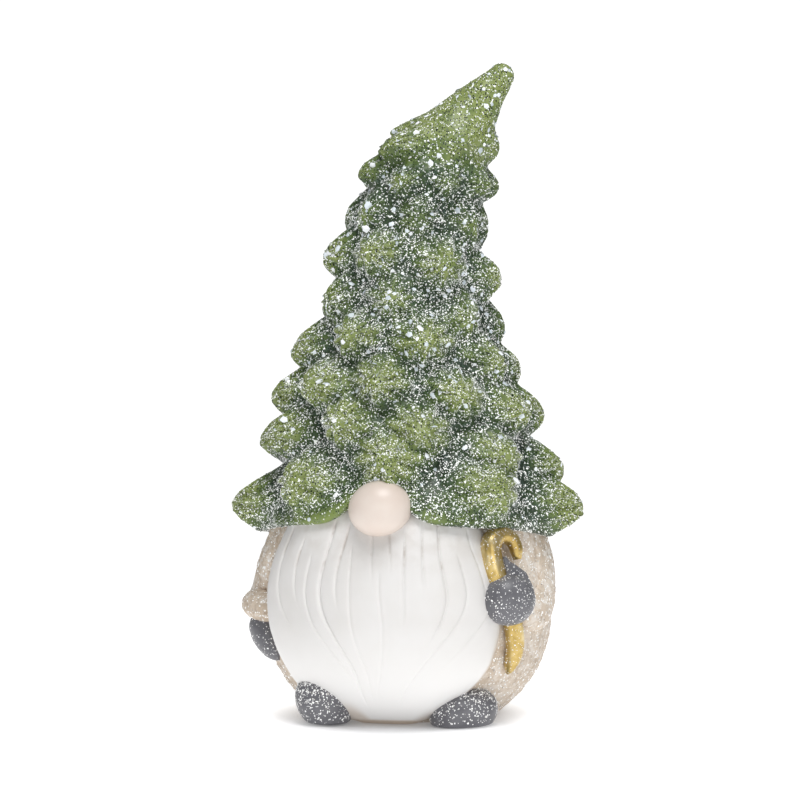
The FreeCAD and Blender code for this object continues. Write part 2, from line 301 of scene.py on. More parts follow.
def stroke(name, spine, rows, columns, texture=None):
    """Low rounded form laid over the coat, like a coil of clay pressed on.

    spine rows are: place along, turn, height, half width, and how proud it stands.
    """
    phase = np.linspace(0.012, 0.988, rows) * math.pi
    along = (1 - np.cos(phase)) / 2 * spine[-1][0]
    end = np.sin(phase)[:, None] ** STROKE_BLUNT
    turn = spline(spine, 1, along)[:, None]
    height = spline(spine, 2, along)[:, None]
    half = spline(spine, 3, along)[:, None] * end
    proud = spline(spine, 4, along)[:, None] * end
    radius = spline(COAT_OUTLINE, 1, height)
    run_a = np.gradient(np.radians(turn[:, 0])) * radius[:, 0]
    run_b = np.gradient(height[:, 0])
    length = np.hypot(run_a, run_b)
    side_a = (run_b / length)[:, None]
    side_b = (-run_a / length)[:, None]
    ring = np.linspace(0, 2 * math.pi, columns, endpoint=False)[None, :]
    across = half * np.sin(ring)
    lift = np.where(np.cos(ring) > 0, proud, STROKE_BURY * end) * np.cos(ring)
    new_turn = turn + np.degrees(side_a * across / radius)
    new_height = height + side_b * across
    points = over_coat(new_turn, new_height, lift)
    if texture:
        push = texture(points)[..., None]
        points = points + push * (over_coat(new_turn, new_height, lift + 1) - points)
    return skin(name, points)


def tube(name, path, radii):
    """Round rod along points, with its own radius at each point."""
    columns = 40
    path = np.asarray(path, float)
    run = np.gradient(path, axis=0)
    run /= np.linalg.norm(run, axis=1)[:, None]
    side = np.cross(run[0], [0.3, 0.9, 0.1])
    ring = np.linspace(0, 2 * math.pi, columns, endpoint=False)
    rings = []
    for point, forward, radius in zip(path, run, radii):
        side = side - forward * np.dot(side, forward)
        side /= np.linalg.norm(side)
        other = np.cross(forward, side)
        circle = np.cos(ring)[:, None] * side + np.sin(ring)[:, None] * other
        rings.append(point + radius * circle)
    return skin(name, np.array(rings))


def ball(rows, columns):
    """Unit sphere as rings of points from the bottom up."""
    rise = np.linspace(-math.pi / 2, math.pi / 2, rows + 2)[1:-1][:, None]
    ring = np.linspace(0, 2 * math.pi, columns, endpoint=False)[None, :]
    level = np.cos(rise)
    return points_from(level * np.sin(ring), -level * np.cos(ring), np.sin(rise))


def melt(name, parts, voxel, passes):
    """One closed skin round several closed parts that run into each other."""
    vertices = []
    faces = []
    for part in parts:
        start = len(vertices)
        vertices += [vertex.co[:] for vertex in part.data.vertices]
        faces += [[start + corner for corner in face.vertices] for face in part.data.polygons]
        bpy.data.objects.remove(part)
    whole = make_object(name, np.array(vertices) / MM, faces)
    remesh = whole.modifiers.new("melt", "REMESH")
    remesh.mode = "VOXEL"
    remesh.voxel_size = voxel * MM
    remesh.use_smooth_shade = True
    soften = whole.modifiers.new("soften", "SMOOTH")
    soften.iterations = passes
    graph = bpy.context.evaluated_depsgraph_get()
    mesh = bpy.data.meshes.new_from_object(whole.evaluated_get(graph))
    whole.modifiers.clear()
    whole.data = mesh
    return whole


# ---------------------------------------------------------------- hat
def brim_height(turn):
    """Height of the hat's lower edge, which rises to the front and arches over the nose."""
    front = np.clip((np.cos(np.radians(turn)) + 0.15) / 1.15, 0, 1)
    off_nose = (turn + 180) % 360 - 180 - NOSE_TURN
    arch = BRIM_ARCH * np.exp(-((off_nose / BRIM_ARCH_WIDTH) ** 2))
    return BRIM_Z + BRIM_FRONT_RISE * front + arch


def tier_boughs():
    """Boughs of the even tiers, a little different from each other in place and size."""
    chance = np.random.default_rng(11)
    boughs = []
    for height, front, sway, reach, slant, count, first, half in BOUGH_TIERS:
        for number in range(count):
            turn = first + number * 360 / count + chance.uniform(-2.0, 2.0)
            angle = math.radians(turn)
            lift = front * max(0.0, math.cos(angle)) ** 2
            tip_z = height + lift - math.tan(math.radians(slant)) * reach * math.sin(angle)
            length = reach - float(spline(HAT_RINGS, 2, height)) - sway * math.sin(angle)
            wide, tall = chance.uniform(0.92, 1.08, 2)
            twist = chance.uniform(-TIER_TWIST, TIER_TWIST)
            boughs.append((turn, tip_z, length, half * wide, TIER_RISE * tall, TIER_FALL, twist))
    return boughs


def top_boughs():
    """Boughs near the hat's tip."""
    return [(*bough, TOP_RISE, TOP_FALL, TOP_TWIST) for bough in TOP_BOUGHS]


def brim_boughs():
    """Long boughs round the brim, lifted over the nose."""
    boughs = []
    for turn in BRIM_TURNS:
        lift = BRIM_LIFT * max(0.0, math.cos(math.radians(turn))) ** 3
        tip_z = BRIM_TIP_Z + lift
        length = BRIM_REACH - BRIM_SETBACK * lift - float(spline(HAT_RINGS, 2, tip_z))
        fall = BRIM_FALL + BRIM_SAG * lift
        boughs.append((turn, tip_z, length, BRIM_HALF_WIDTH, BRIM_RISE, fall, 0.0))
    return boughs


def bough_swell(turn, core, radius):
    """How far the boughs push the hat's surface out.

    Each bough is a cone over the surface, and the cones melt into each other, into the
    valleys between them and into the roll along the brim's front edge.
    """
    blunt = 0.24
    sharp = 1.05
    power = 1.65
    valley_depth = 2.5
    roll_size = 5.0
    roll_height = 17.0
    vein_count = 9
    vein_depth = 0.11
    height = core[..., 2]
    valley = -valley_depth * (1 - step(198, 215, height))
    facing = np.clip((np.cos(np.radians(turn)) - 0.30) / 0.45, 0, 1)
    above_edge = (height - brim_height(turn)) / roll_height
    roll = np.maximum(roll_size * facing * (1 - above_edge**2), valley)
    total = np.exp(sharp * valley) + np.exp(sharp * roll)
    boughs = tier_boughs() + top_boughs() + brim_boughs()
    for centre, tip_z, length, half, rise, fall, twist in boughs:
        across = radius * np.radians((turn - centre + 180) % 360 - 180)
        up = height - tip_z - DROOP * length
        lean = math.radians(twist)
        aside = across * math.cos(lean) + up * math.sin(lean)
        above = up * math.cos(lean) - across * math.sin(lean)
        wide = np.abs(aside / half)
        tall = np.abs(np.where(above > 0, above / rise, above / fall))
        far = (wide**power + tall**power) ** (1 / power)
        cone = 1 - (np.sqrt(far**2 + blunt**2) - blunt) / (math.hypot(1, blunt) - blunt)
        veins = np.cos(vein_count * np.arctan2(above, aside) + centre)
        cone += vein_depth * veins * step(0.08, 0.35, far) * (1 - step(0.5, 1.0, far))
        total += np.exp(sharp * length * np.maximum(cone, -1.0))
    swell = np.log(total) / sharp
    smooth_tip = step(231, 241, height)
    return swell * (1 - smooth_tip)


def bare_lip(turn):
    """How bare of glitter the brim's lip is at a turn, from 0 to 1."""
    bare = sum(much * np.exp(-(((turn - middle) / width) ** 2)) for middle, width, much in BARE_LIP)
    return np.clip(bare, 0.15, 1)


def make_hat():
    """Pine-tree hat: a leaning cone swollen into tiers of soft boughs.

    Its marks drive the glaze and the glitter: crest is high on the boughs and low between
    them, and lip is high on the bare stretches of the brim's edge.
    """
    columns = 340
    rows = 266
    lip_height = 0.035
    turn = np.linspace(0, 360, columns, endpoint=False)[None, :]
    share = np.linspace(0, 1, rows)[:, None]
    low = brim_height(turn)
    level = low + share * (HAT_RINGS[-1][0] - low)
    lean = spline(HAT_RINGS, 1, level)
    radius = spline(HAT_RINGS, 2, level)
    tilt = np.radians(spline(HAT_RINGS, 3, level))
    angle = np.radians(turn)
    core = points_from(
        lean + radius * np.sin(angle) * np.cos(tilt),
        -radius * np.cos(angle),
        level - radius * np.sin(angle) * np.sin(tilt),
    )
    swell = bough_swell(turn, core, radius)
    swell = swell + ripple(core, 14.0, 3.0) * 0.6 + ripple(core, 5.0, 5.0) * 0.3
    outward = around(turn, 1.0, 0.0)
    points = core + swell[..., None] * (outward - DROOP * np.array([0, 0, 1.0]))
    crest = np.maximum(np.clip((swell + 2.0) / 13.0, 0, 1), 0.9 * step(202, 230, level))
    lip = underside(points[0], turn)
    cap = tip_cap(columns)
    rings = np.concatenate([lip, points, cap])
    crests = np.concatenate([np.zeros(lip.shape[:2]), crest, np.ones(cap.shape[:2])])
    bare = bare_lip(turn)
    above = (1 - step(0.0, lip_height, share)) * bare
    edge = np.concatenate([np.repeat(bare, len(lip), 0), above, np.zeros(cap.shape[:2])])
    return skin("hat", rings, {"crest": crests, "lip": edge})


def underside(edge, turn):
    """Rings from the hollow out to the brim's edge, with a rounded lip."""
    hollow_radius = 47.0
    inner = around(turn[0], hollow_radius, edge[:, 2] + 3.0)
    rings = []
    for part in np.linspace(0, 1, 12):
        ring = inner + (edge - inner) * part
        ring[:, 2] = inner[:, 2] + (edge[:, 2] - inner[:, 2]) * part**0.6
        ring[:, 2] -= 1.6 * math.sin(math.pi * part**3)
        rings.append(ring)
    return np.array(rings[:-1])


def tip_cap(columns):
    """Rounded end of the hat's tip."""
    height, lean, radius, tilt = HAT_RINGS[-1]
    angle = np.radians(np.linspace(0, 360, columns, endpoint=False))
    tilt = math.radians(tilt)
    aside = np.array([math.cos(tilt), 0, -math.sin(tilt)])
    ahead = np.array([math.sin(tilt), 0, math.cos(tilt)])
    centre = np.array([lean, 0, height])
    rings = []
    for rise in np.linspace(0, math.pi / 2, 9)[1:-1]:
        level = radius * math.cos(rise)
        ring = np.sin(angle)[:, None] * aside - np.cos(angle)[:, None] * np.array([0, 1, 0])
        rings.append(centre + level * ring + radius * math.sin(rise) * ahead)
    return np.array(rings)


# ---------------------------------------------------------------- coat and arms
def stucco(points):
    """Rough plaster-like surface of the coat: how far it is pushed out."""
    broad = ripple(points, 14.0, 2.0) * 0.35
    lumps = ripple(points, 3.6, 4.0) * 0.22
    grit = ripple(points, 1.5, 6.0) * 0.12
    return broad + lumps + grit


def make_coat():
    """Round coat body with a flat foot and a recessed vent hole."""
    columns = 380
    vent_depth = 5.0
    turn = np.linspace(0, 360, columns, endpoint=False)[None, :]
    height = np.linspace(1.2, COAT_TOP, 210)[:, None]
    wall = over_coat(turn, height, 0.0)
    push = stucco(wall) * step(0.5, 6.0, height)
    wall = over_coat(turn, height, push)
    vent = [(0.5, vent_depth), (VENT_RADIUS - 0.4, vent_depth), (VENT_RADIUS, vent_depth - 0.4),
            (VENT_RADIUS, 0.6)]
    sole = [(VENT_RADIUS + 0.6, 0.0), (20.0, 0.0), (34.8, 0.0), (36.4, 0.4)]
    foot = [around(turn[0], radius, level) for radius, level in vent + sole]
    roof = [around(turn[0], radius, COAT_TOP + 1.0 + lift)
            for radius, lift in [(47.0, 0.6), (30.0, 1.0), (4.0, 1.0)]]
    rings = np.concatenate([np.array(foot), wall, np.array(roof)])
    return skin("coat", rings)


def make_right_sleeve():
    """Sleeve down the gnome's right side."""
    spine = [(0, -68, 80, 10.0, 1.2), (15, -73, 65, 11.0, 2.4), (28, -79, 52, 10.5, 4.8),
             (33, -80, 47, 9.6, 7.0), (42, -80, 38, 9.0, 8.0)]
    return stroke("right_sleeve", spine, 90, 90, stucco)


def make_right_cuff():
    """Fat cuff at the right wrist."""
    spine = [(0, -88, 44.4, 6.4, 6.8), (12, -76, 43.6, 6.6, 9.2), (30, -57, 42.4, 6.2, 7.0)]
    return stroke("right_cuff", spine, 70, 70, stucco)


def make_right_mitten():
    """Mitten that points down and forward beside the beard."""
    spine = [(0, -74, 41, 8.8, 6.2), (8, -71, 35, 8.9, 7.3), (15, -65, 28.5, 7.2, 5.8),
             (20.5, -58, 24.0, 4.6, 3.4)]
    return stroke("right_mitten", spine, 90, 90)


def make_left_sleeve():
    """Upper arm from under the brim on the gnome's left, and a forearm towards the crook."""
    spine = [(0, 86, 80, 11.0, 2.4), (18, 86, 62, 12.5, 2.4), (32, 82, 49, 10.5, 3.0),
             (45, 71, 43, 9.0, 4.4), (58, 58, 45, 8.5, 5.0)]
    return stroke("left_sleeve", spine, 110, 80, stucco)


def make_left_mitten():
    """Ball-shaped mitten with a pointed thumb beside the crook."""
    centre = around(*LEFT_FIST)
    angle = math.radians(LEFT_FIST[0])
    out = np.array([math.sin(angle), -math.cos(angle), 0])
    aside = np.array([math.cos(angle), math.sin(angle), 0])
    fist = ball(80, 90) * np.array([10.8, 9.6, 10.0])
    fist = centre + fist[..., :1] * aside - fist[..., 1:2] * out + fist[..., 2:] * [0, 0, 1]

    def place(points):
        """Points given aside, out and up from the middle of the fist."""
        return [centre + x * aside + y * out + np.array([0, 0, z]) for x, y, z in points]

    thumb = place([(-1.0, -1.6, 16.4), (0.2, -1.2, 12.6), (1.5, -0.6, 9.0), (2.4, 0, 4.0)])
    web = place([(0.2, -1.6, 14.0), (2.8, -1.0, 11.6), (5.7, -0.4, 8.8), (6.0, 0, 4.0)])
    parts = [skin("fist", fist),
             tube("thumb", thumb, [0.9, 2.1, 3.5, 5.0]),
             tube("web", web, [1.3, 2.1, 3.0, 5.0])]
    return melt("left_mitten", parts, voxel=0.32, passes=4)


# ---------------------------------------------------------------- crook
def make_crook():
    """Gold hooked stick, tapering to a point at its foot."""
    facing = math.radians(HOOK_FACING)
    across = np.array([math.cos(facing), math.sin(facing), 0])
    hook_rod = 2.7
    shank_turn = 42.5
    shank_top = 67.2
    top = over_coat(shank_turn, shank_top, CROOK_PROUD)
    rise = top - over_coat(shank_turn, shank_top - 3.0, CROOK_PROUD)
    rise /= np.linalg.norm(rise)
    path = []
    radii = []
    for reach in (3.6, 2.4, 1.2):
        path.append(top + across * 2 * HOOK_RADIUS - rise * reach)
        radii.append(hook_rod - 0.30 * reach)
    for bend in np.linspace(0, math.pi, 26):
        path.append(top + HOOK_RADIUS * (across * (1 + math.cos(bend)) + rise * math.sin(bend)))
        radii.append(hook_rod + 1.6 * step(0, 0.9 * math.pi, bend))
    shank = [(0, shank_turn, shank_top, 4.3), (5, 42.8, 62.6, 4.4), (10, 43.9, 58.0, 4.4),
             (19, 47.3, 50.0, 4.0), (30, 52.0, 39.0, 3.8), (38, 53.6, 31.0, 3.6),
             (43, 54.2, 26.0, 3.0), (46.5, 54.5, 22.5, 2.1), (48.5, 54.6, 20.6, 0.9)]
    for place in np.linspace(1.5, shank[-1][0], 60):
        turn = spline(shank, 1, place)
        height = spline(shank, 2, place)
        proud = CROOK_PROUD - 1.6 * step(38, 48, place)
        path.append(over_coat(turn, height, proud))
        radii.append(float(spline(shank, 3, place)))
    return tube("crook", path, radii)


# ---------------------------------------------------------------- beard and nose
def strand_grooves(share, height):
    """Depth of the carved strands, and a mark along the sharp lines of the upper ones.

    The lines sweep together towards the beard's foot. Each strand is a fold: it drops
    steeply on one side, and fades out over the other.
    """
    gather = 0.36 + 0.64 * step(8, 56, height)
    shallow = 0.65 + 0.35 * step(25, 50, height)
    depth = np.zeros(np.broadcast(share, height).shape)
    line = np.zeros(depth.shape)
    for place, upper, lower, deep in STRANDS:
        wander = 0.012 * np.sin(height / 7.0 + 40 * place)
        off = share - place * gather - wander
        span = step(lower, lower + 14, height) * (1 - step(upper - 3, upper + 3, height))
        fold = np.where(off > 0, np.exp(-off / 0.075), np.exp(off / 0.012))
        cut = np.exp(-((off / 0.009) ** 2))
        depth += deep * span * shallow * (0.8 * fold + 0.45 * cut)
        line = np.maximum(line, cut * span * deep * step(52, 72, height))
    return depth, line


def bare_clay(share, height):
    """Where the beard's glaze is missing: its lower edges, two low patches and its foot."""
    edges = step(0.90, 0.965, np.abs(share)) * (1 - step(22, 40, height))
    right_patch = 0.6 * step(0.22, 0.42, -share) * (1 - step(4.0, 12.0, height))
    left_patch = 0.6 * step(0.5, 0.8, share) * (1 - step(2.0, 9.0, height))
    foot = 1 - step(1.5, 3.0, height)
    return np.maximum(np.maximum(edges, foot), np.maximum(right_patch, left_patch))


def make_beard():
    """Full beard: a thick layer over the coat, carved into long strands.

    Its marks drive the glaze: groove is high in the sharp lines, and rim on bare clay.
    """
    rows = 256
    front_columns = 350
    back_columns = 40
    height = np.linspace(BEARD_OUTLINE[0][0], BEARD_OUTLINE[-1][0], rows)[:, None]
    share = np.linspace(-1, 1, front_columns)[None, :]
    face = spline(BEARD_OUTLINE, 1, height)
    left = spline(BEARD_OUTLINE, 2, height)
    right = spline(BEARD_OUTLINE, 3, height)
    back = spline(COAT_OUTLINE, 1, height) - 2.5
    turn = (left + right) / 2 + share * (right - left) / 2
    edge = (1 - np.abs(share) ** 16) ** 0.5
    thin = 1 - 0.30 * step(0.55, 1.0, share)
    cut, line = strand_grooves(share, height)
    plain = around(turn, face, height)
    soft = ripple(plain, 24.0, 8.0) * 0.5 + ripple(plain, 7.0, 3.0) * 0.10
    foot = 0.55 + 0.45 * step(-2.0, 3.0, height)
    thick = ((face - back) * thin - cut + soft) * edge
    outer = around(turn, back + thick * foot, height)
    inner_share = np.linspace(1, -1, back_columns)[None, 1:-1]
    inner_turn = (left + right) / 2 + inner_share * (right - left) / 2
    inner = around(inner_turn, back - 1.0, height)
    groove = np.concatenate([line, np.zeros(inner.shape[:2])], 1)
    rim = np.concatenate([bare_clay(share, height), np.ones(inner.shape[:2])], 1)
    return skin("beard", np.concatenate([outer, inner], 1), {"groove": groove, "rim": rim})


def make_nose():
    """Egg-shaped nose, a little fuller below."""
    sphere = ball(90, 110)
    egg = 1 + 0.05 * sphere[..., 0] * sphere[..., 2] - 0.03 * sphere[..., 2]
    return skin("nose", NOSE_CENTRE + sphere * egg[..., None] * NOSE_RADII)


# ---------------------------------------------------------------- boots
def make_boot(name, turn, radius, height, radii, roll):
    """Rounded boot toe that looks out from under the beard, softly flat underneath."""
    sole = 1.6
    sphere = ball(90, 110) * np.array(radii)
    roll = math.radians(roll)
    wide = sphere[..., 0] * math.cos(roll) - sphere[..., 2] * math.sin(roll)
    tall = sphere[..., 0] * math.sin(roll) + sphere[..., 2] * math.cos(roll)
    angle = math.radians(turn)
    aside = np.array([math.cos(angle), math.sin(angle), 0])
    out = np.array([math.sin(angle), -math.cos(angle), 0])
    centre = around(turn, radius, height)
    points = centre + wide[..., None] * aside - sphere[..., 1:2] * out
    low = points[..., 2] + tall
    points[..., 2] = np.where(low < sole, sole * np.exp((low - sole) / sole), low)
    return skin(name, points)


# ---------------------------------------------------------------- glitter
def triangles(source, marks):
    """Corners of a piece's triangles in millimetres, and the mean of some marks on each."""
    mesh = source.data
    mesh.calc_loop_triangles()
    corner = np.zeros(len(mesh.loop_triangles) * 3, np.int32)
    mesh.loop_triangles.foreach_get("vertices", corner)
    corner = corner.reshape(-1, 3)
    place = np.zeros(len(mesh.vertices) * 3, np.float32)
    mesh.vertices.foreach_get("co", place)
    values = []
    for mark in marks:
        value = np.zeros(len(mesh.vertices), np.float32)
        mesh.attributes[mark].data.foreach_get("value", value)
        values.append(value[corner].mean(1))
    return (place.reshape(-1, 3) / MM)[corner], values


def scatter(name, sources, count, size, seed, weigh=None, marks=(), flat=0.3, corners=3):
    """Closed little chips strewn over some pieces, as one mesh.

    weigh says how thickly they lie, from a triangle's middle and its marks, and a larger
    flat value tips the chips further out of the surface.
    """
    chance = np.random.default_rng(seed)
    found = [triangles(source, marks) for source in sources]
    corner = np.concatenate([spots for spots, _ in found])
    first = corner[:, 0]
    second = corner[:, 1]
    third = corner[:, 2]
    cross = np.cross(second - first, third - first)
    area = np.linalg.norm(cross, axis=1)
    weight = area * (first[:, 2] > CHIP_FLOOR)
    if weigh:
        values = [np.concatenate(column) for column in zip(*[each for _, each in found])]
        weight = weight * weigh(corner.mean(1), *values)
    pick = chance.choice(len(corner), count, p=weight / weight.sum())
    share = chance.random((2, count, 1))
    share = np.where(share[0] + share[1] > 1, 1 - share, share)
    spot = first[pick] + share[0] * (second[pick] - first[pick])
    spot = spot + share[1] * (third[pick] - first[pick])
    normal = cross[pick] / area[pick][:, None]
    tip = normal + chance.normal(0, flat, (count, 3))
    tip /= np.linalg.norm(tip, axis=1)[:, None]
    side = np.cross(tip, chance.normal(0, 1, (count, 3)))
    side /= np.linalg.norm(side, axis=1)[:, None]
    other = np.cross(tip, side)
    scale = size * chance.lognormal(0, 0.3, (count, 1))
    spot = spot + normal * scale * CHIP_LIFT
    points = []
    for number in range(corners):
        angle = 2 * math.pi * number / corners
        reach = scale * chance.uniform(0.75, 1.15, (count, 1))
        points.append(spot + reach * (math.cos(angle) * side + math.sin(angle) * other))
    points.append(spot + tip * scale * CHIP_HEIGHT)
    vertices = np.stack(points, 1).reshape(-1, 3)
    start = np.arange(count) * (corners + 1)
    under = [start + number for number in reversed(range(corners))]
    faces = np.stack(under, 1).tolist()
    for number in range(corners):
        after = (number + 1) % corners
        faces += np.stack([start + number, start + after, start + corners], 1).tolist()
    return make_object(name, vertices, faces, smooth=False)


# ---------------------------------------------------------------- materials
class Paint:
    """A new material, and helpers that add linked nodes to it."""

    def __init__(self, name, rough, metallic=0.0, coat=0.0, coat_rough=0.1):
        self.material = bpy.data.materials.new(name)
        self.material.use_nodes = True
        self.nodes = self.material.node_tree.nodes
        self.links = self.material.node_tree.links
        self.shader = self.nodes["Principled BSDF"]
        self.shader.inputs["Roughness"].default_value = rough
        self.shader.inputs["Metallic"].default_value = metallic
        self.shader.inputs["Coat Weight"].default_value = coat
        self.shader.inputs["Coat Roughness"].default_value = coat_rough
        self.place = self.add("ShaderNodeTexCoord").outputs["Object"]

    def add(self, kind, **sockets):
        """Adds a node and sets or links its inputs by name."""
        node = self.nodes.new(kind)
        for key, value in sockets.items():
            self.put(node.inputs[key.replace("_", " ")], value)
        return node

    def put(self, socket, value):
        """Links an output to a socket, or sets the socket to a constant."""
        if isinstance(value, bpy.types.NodeSocket):
            self.links.new(value, socket)
        else:
            socket.default_value = value

    def noise(self, size, detail=3.0, rough=0.55):
        """Cloudy noise with lumps of a size in millimetres."""
        node = self.add("ShaderNodeTexNoise", Vector=self.place, Scale=1 / (size * MM),
                        Detail=detail, Roughness=rough)
        return node.outputs["Fac"]

    def cells(self, size):
        """Distance to the nearest of many points, and a random colour for each."""
        node = self.add("ShaderNodeTexVoronoi", Vector=self.place, Scale=1 / (size * MM))
        return node.outputs["Distance"], node.outputs["Color"]

    def ramp(self, value, *stops):
        """Colours, or plain numbers, between stops."""
        node = self.add("ShaderNodeValToRGB", Fac=value)
        while len(node.color_ramp.elements) < len(stops):
            node.color_ramp.elements.new(0.5)
        for element, (place, colour) in zip(node.color_ramp.elements, stops):
            element.position = place
            element.color = (*colour, 1) if isinstance(colour, tuple) else (colour,) * 3 + (1,)
        return node.outputs["Color"]

    def mix(self, share, first, second):
        """First colour where share is 0, and the second where it is 1."""
        node = self.nodes.new("ShaderNodeMix")
        node.data_type = "RGBA"
        self.put(node.inputs[0], share)
        for socket, value in ((node.inputs[6], first), (node.inputs[7], second)):
            self.put(socket, (*value, 1) if isinstance(value, tuple) else value)
        return node.outputs[2]

    def math(self, kind, first, second):
        """Result of a Math node on two values."""
        node = self.nodes.new("ShaderNodeMath")
        node.operation = kind
        self.put(node.inputs[0], first)
        self.put(node.inputs[1], second)
        return node.outputs[0]

    def above(self, height, slope):
        """0 at a height in metres and below it, growing to 1 above it at a slope per metre.

        With a negative slope it grows to 1 below that height instead.
        """
        here = self.add("ShaderNodeSeparateXYZ", Vector=self.place).outputs["Z"]
        over = self.math("MULTIPLY", self.math("SUBTRACT", here, height), slope)
        return self.add("ShaderNodeClamp", Value=over).outputs[0]

    def mark(self, name):
        """One of the marks that the piece's mesh carries."""
        node = self.nodes.new("ShaderNodeAttribute")
        node.attribute_name = name
        return node.outputs["Fac"]

    def bump(self, height, distance, strength):
        """Small relief, its depth in millimetres."""
        node = self.add("ShaderNodeBump", Height=height, Strength=strength,
                        Distance=distance * MM)
        self.links.new(node.outputs["Normal"], self.shader.inputs["Normal"])

    def colour(self, value):
        """Base colour of the material."""
        self.put(self.shader.inputs["Base Color"], value)

    def specks(self, base, size, share, dots, radius):
        """Covers a share of cells with round specks of several greys."""
        distance, colour = self.cells(size)
        parts = self.add("ShaderNodeSeparateColor", Color=colour)
        chosen = self.math("LESS_THAN", parts.outputs["Red"], share)
        inside = self.math("LESS_THAN", distance, radius)
        spot = self.math("MULTIPLY", chosen, inside)
        tint = self.ramp(parts.outputs["Green"], *dots)
        return self.mix(spot, base, tint), spot


def hat_paint():
    """Green glaze, pale on the boughs and dark and hazy between them, partly its own colour and
    partly painted highlight and shade, with grey specks and dark specks of painted shadow.
    """
    paint = Paint("hat_glaze", 0.45, coat=0.12, coat_rough=0.25)
    paint.shader.inputs["Specular IOR Level"].default_value = 0.3
    crest = paint.mark("crest")
    lip = paint.mark("lip")
    drift = paint.math("MULTIPLY", paint.math("SUBTRACT", paint.noise(7.0), 0.5), 0.9)
    level = paint.math("ADD", crest, drift)
    # The glaze breaks paler over the boughs and pools darker between them. The ramp also paints
    # shade into the valleys and a highlight onto the bough tips.
    green = paint.ramp(level, (0.15, (0.012, 0.028, 0.014)), (0.42, (0.042, 0.078, 0.027)),
                       (0.70, (0.122, 0.178, 0.047)), (0.92, (0.235, 0.290, 0.090)))
    green = paint.mix(lip, green, (0.215, 0.280, 0.080))
    haze = paint.ramp(paint.noise(2.6, 4.0, 0.6), (0.50, 0.0), (0.66, 1.0))
    low = paint.math("SUBTRACT", 1.15, crest)
    haze = paint.math("MULTIPLY", paint.math("MULTIPLY", haze, low), 0.45)
    green = paint.mix(haze, green, (0.120, 0.175, 0.165))
    few = paint.math("MULTIPLY", paint.math("SUBTRACT", 1.0, lip), 0.42)
    # The darkest grey specks and the near-black specks are painted shadow between the glitter
    # flakes.
    greys = ((0.0, (0.008, 0.016, 0.008)), (0.55, (0.02, 0.035, 0.02)),
             (0.65, (0.36, 0.42, 0.36)), (0.80, (0.78, 0.82, 0.78)))
    flake_shadow = ((0.0, (0.004, 0.008, 0.004)), (1.0, (0.016, 0.026, 0.016)))
    green, _ = paint.specks(green, 1.2, few, greys, 0.30)
    green, raised = paint.specks(green, 0.75, few, greys, 0.34)
    green, _ = paint.specks(green, 0.95, few, flake_shadow, 0.32)
    paint.colour(green)
    paint.bump(raised, 0.12, 0.6)
    return paint.material


def coat_paint():
    """Matt taupe slip over a rough surface, with painted shade towards the foot, with brown grit.
    """
    paint = Paint("coat_slip", 0.74)
    base = paint.ramp(paint.noise(15.0, 4.0), (0.30, (0.47, 0.37, 0.27)),
                      (0.5, (0.65, 0.55, 0.445)), (0.70, (0.76, 0.68, 0.585)))
    grit = paint.noise(2.4, 5.0, 0.7)
    dark = paint.ramp(grit, (0.36, 1.0), (0.47, 0.0))
    base = paint.mix(paint.math("MULTIPLY", dark, 0.55), base, (0.33, 0.25, 0.185))
    pale = paint.ramp(paint.noise(4.0, 4.0, 0.6), (0.50, 0.0), (0.62, 1.0))
    base = paint.mix(paint.math("MULTIPLY", pale, 0.6), base, (0.86, 0.82, 0.77))
    # Painted shade: the coat is darker below 45 mm, where it curves under.
    painted_foot_shade = paint.above(0.045, -10.0)
    base = paint.mix(painted_foot_shade, base, (0.46, 0.38, 0.30))
    greys = ((0.0, (0.20, 0.16, 0.13)), (0.12, (0.50, 0.46, 0.42)), (0.40, (0.93, 0.92, 0.91)))
    base, raised = paint.specks(base, 1.3, 0.30, greys, 0.28)
    paint.colour(base)
    paint.bump(paint.math("ADD", grit, raised), 0.4, 0.8)
    return paint.material


def beard_paint():
    """Satin white glaze, smoky and with painted shade under the brim, with painted light towards
    the foot, over brown clay.
    """
    paint = Paint("beard_white", 0.45, coat=0.12, coat_rough=0.3)
    base = paint.ramp(paint.noise(20.0, 4.0), (0.3, (0.71, 0.693, 0.671)),
                      (0.7, (0.75, 0.738, 0.726)))
    patch = paint.ramp(paint.noise(9.0, 4.0), (0.40, 0.0), (0.62, 1.0))
    # The top of the beard is greyed: partly a smoky wash, and partly painted shade under the brim.
    under_brim = paint.above(0.060, 45.0)
    smoke_and_brim_shade = paint.math("MULTIPLY", paint.math("MULTIPLY", under_brim, patch), 0.72)
    base = paint.mix(smoke_and_brim_shade, base, (0.55, 0.51, 0.47))
    # Painted light: the lower beard, which faces down, is made paler, as if lit from below.
    painted_foot_light = paint.above(0.042, -30.0)
    base = paint.mix(painted_foot_light, base, (0.88, 0.87, 0.855))
    broken = paint.ramp(paint.noise(6.0), (0.46, 0.0), (0.66, 1.0))
    wash = paint.math("MULTIPLY", paint.math("MULTIPLY", paint.mark("groove"), broken), 0.8)
    base = paint.mix(wash, base, (0.34, 0.28, 0.23))
    clay = paint.math("MULTIPLY", paint.mark("rim"), 0.75)
    base = paint.mix(clay, base, (0.50, 0.36, 0.23))
    paint.colour(base)
    paint.bump(paint.noise(3.0, 4.0, 0.6), 0.10, 0.3)
    return paint.material


def nose_paint():
    """Pale pink satin glaze."""
    paint = Paint("nose_pink", 0.40, coat=0.12, coat_rough=0.35)
    base = paint.ramp(paint.noise(12.0), (0.3, (0.72, 0.61, 0.54)), (0.7, (0.76, 0.67, 0.60)))
    paint.colour(base)
    paint.bump(paint.noise(2.0, 4.0), 0.05, 0.3)
    return paint.material


